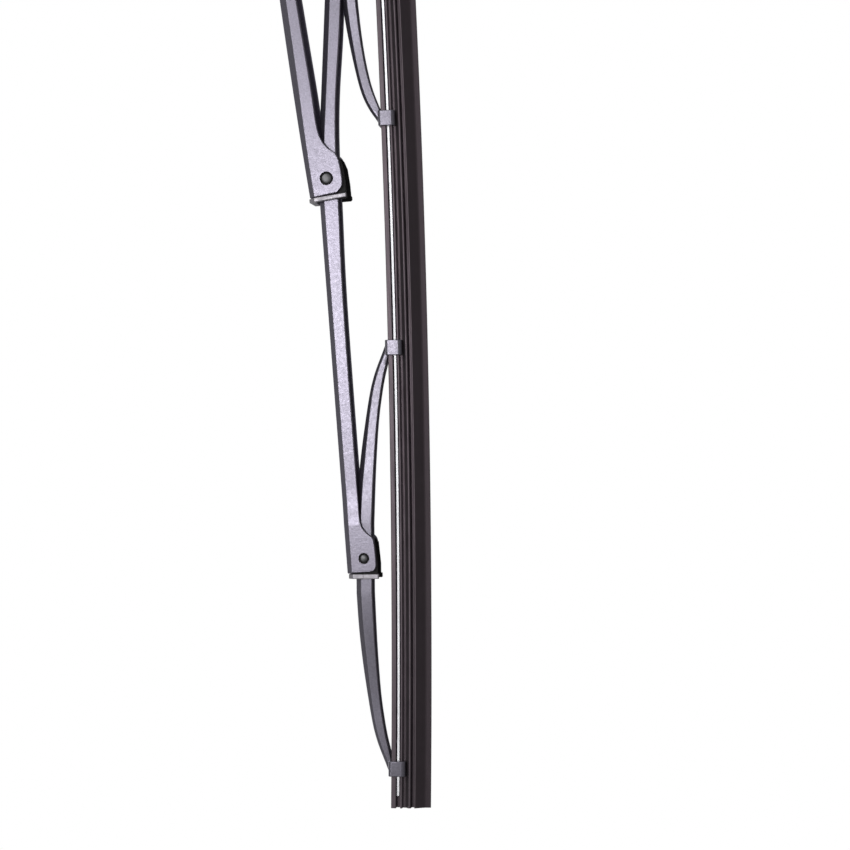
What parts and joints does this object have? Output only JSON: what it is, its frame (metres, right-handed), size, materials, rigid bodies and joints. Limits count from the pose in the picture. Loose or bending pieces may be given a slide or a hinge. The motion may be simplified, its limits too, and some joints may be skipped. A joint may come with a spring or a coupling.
{
  "type": "windshield wiper blade assembly",
  "caption": "Framed windscreen wiper blade: arched bridge, secondary levers and yokes on rivets, gripping a bowed rubber squeegee with steel flexor strips, with a hook-arm adapter.",
  "frame": {"origin": "on the axis of the centre rivet, mid-way between the bridge's flanks, where the arm's hook holds the blade", "axes": "+X along the blade towards one end, +Y across the blade, +Z away from the glass"},
  "size_m": [0.702, 0.0164, 0.0438],
  "materials": {
    "bridge_paint": "satin black powder coat",
    "yoke_paint": "satin black powder coat",
    "bush_plastic": "moulded",
    "adapter_plastic": "moulded",
    "rivet_steel": "dark satin",
    "flexor_steel": "bright rolled",
    "rubber": "graphite coated"
  },
  "bodies": {
    "adapter": {"arm_adapter": "adapter_plastic"},
    "latch": {"adapter_latch": "adapter_plastic"},
    "bridge": {"primary_bridge": "bridge_paint", "centre_rivet": "rivet_steel", "primary_bush_left": "bush_plastic", "primary_rivet_left": "rivet_steel", "primary_bush_right": "bush_plastic", "primary_rivet_right": "rivet_steel"},
    "secondary_left": {"secondary_left": "bridge_paint", "yoke_bush_outer_left": "bush_plastic", "yoke_rivet_outer_left": "rivet_steel", "yoke_bush_inner_left": "bush_plastic", "yoke_rivet_inner_left": "rivet_steel"},
    "yoke_outer_left": {"yoke_outer_left": "yoke_paint", "rubber_outer_left": "rubber", "flexors_outer_left": "flexor_steel"},
    "yoke_inner_left": {"yoke_inner_left": "yoke_paint", "rubber_inner_left": "rubber", "flexors_inner_left": "flexor_steel"},
    "refill_mid_left": {"rubber_mid_left": "rubber", "flexors_mid_left": "flexor_steel"},
    "secondary_right": {"secondary_right": "bridge_paint", "yoke_bush_outer_right": "bush_plastic", "yoke_rivet_outer_right": "rivet_steel", "yoke_bush_inner_right": "bush_plastic", "yoke_rivet_inner_right": "rivet_steel"},
    "yoke_outer_right": {"yoke_outer_right": "yoke_paint", "rubber_outer_right": "rubber", "flexors_outer_right": "flexor_steel"},
    "yoke_inner_right": {"yoke_inner_right": "yoke_paint", "rubber_inner_right": "rubber", "flexors_inner_right": "flexor_steel"},
    "refill_mid_right": {"rubber_mid_right": "rubber", "flexors_mid_right": "flexor_steel"},
    "refill_centre": {"rubber_centre": "rubber", "flexors_centre": "flexor_steel"}
  },
  "joints": [
    {"name": "bridge_tilt", "type": "hinge", "parent": "adapter", "child": "bridge", "pos_m": [0, 0, 0], "axis": [0, 1, 0], "range_deg": [-12, 12]},
    {"name": "latch_press", "type": "hinge", "parent": "adapter", "child": "latch", "pos_m": [-0.016, 0, 0.0032], "axis": [0, 1, 0], "range_deg": [0, 8], "stiffness_Nm_per_rad": 0.08},
    {"name": "secondary_pivot_left", "type": "hinge", "parent": "bridge", "child": "secondary_left", "pos_m": [-0.16929, 0, -0.00818], "axis": [0, -1, 0], "range_deg": [-1, 6], "stiffness_Nm_per_rad": 0.9, "springref_deg": -1.72},
    {"name": "yoke_pivot_outer_left", "type": "hinge", "parent": "secondary_left", "child": "yoke_outer_left", "pos_m": [-0.27827, 0, -0.01041], "axis": [0, -1, 0], "range_deg": [-1, 3.5]},
    {"name": "yoke_pivot_inner_left", "type": "hinge", "parent": "secondary_left", "child": "yoke_inner_left", "pos_m": [-0.09282, 0, -0.01884], "axis": [0, -1, 0], "range_deg": [-3.5, 1]},
    {"name": "refill_rise_left", "type": "slide", "parent": "secondary_left", "child": "refill_mid_left", "axis": [0.0455, 0, 0.999], "range_m": [-0.00063, 0.00325]},
    {"name": "secondary_pivot_right", "type": "hinge", "parent": "bridge", "child": "secondary_right", "pos_m": [0.16929, 0, -0.00818], "axis": [0, 1, 0], "range_deg": [-1, 6]},
    {"name": "yoke_pivot_outer_right", "type": "hinge", "parent": "secondary_right", "child": "yoke_outer_right", "pos_m": [0.27827, 0, -0.01041], "axis": [0, 1, 0], "range_deg": [-1, 3.5]},
    {"name": "yoke_pivot_inner_right", "type": "hinge", "parent": "secondary_right", "child": "yoke_inner_right", "pos_m": [0.09282, 0, -0.01884], "axis": [0, 1, 0], "range_deg": [-3.5, 1]},
    {"name": "refill_rise_right", "type": "slide", "parent": "secondary_right", "child": "refill_mid_right", "axis": [-0.0455, 0, 0.999], "range_m": [-0.00063, 0.00325]},
    {"name": "refill_rise_centre", "type": "slide", "parent": "bridge", "child": "refill_centre", "axis": [0, 0, 1], "range_m": [-0.00197, 0.01132]}
  ],
  "couplings": [
    {"joint": "yoke_pivot_outer_left", "follows": "secondary_pivot_left", "ratio": 0.5},
    {"joint": "yoke_pivot_inner_left", "follows": "secondary_pivot_left", "ratio": -0.5},
    {"joint": "refill_rise_left", "follows": "secondary_pivot_left", "m_per_rad": 0.0301},
    {"joint": "secondary_pivot_right", "follows": "secondary_pivot_left", "ratio": 1},
    {"joint": "yoke_pivot_outer_right", "follows": "secondary_pivot_left", "ratio": 0.5},
    {"joint": "yoke_pivot_inner_right", "follows": "secondary_pivot_left", "ratio": -0.5},
    {"joint": "refill_rise_right", "follows": "secondary_pivot_left", "m_per_rad": 0.0301},
    {"joint": "refill_rise_centre", "follows": "secondary_pivot_left", "m_per_rad": 0.1071}
  ]
}
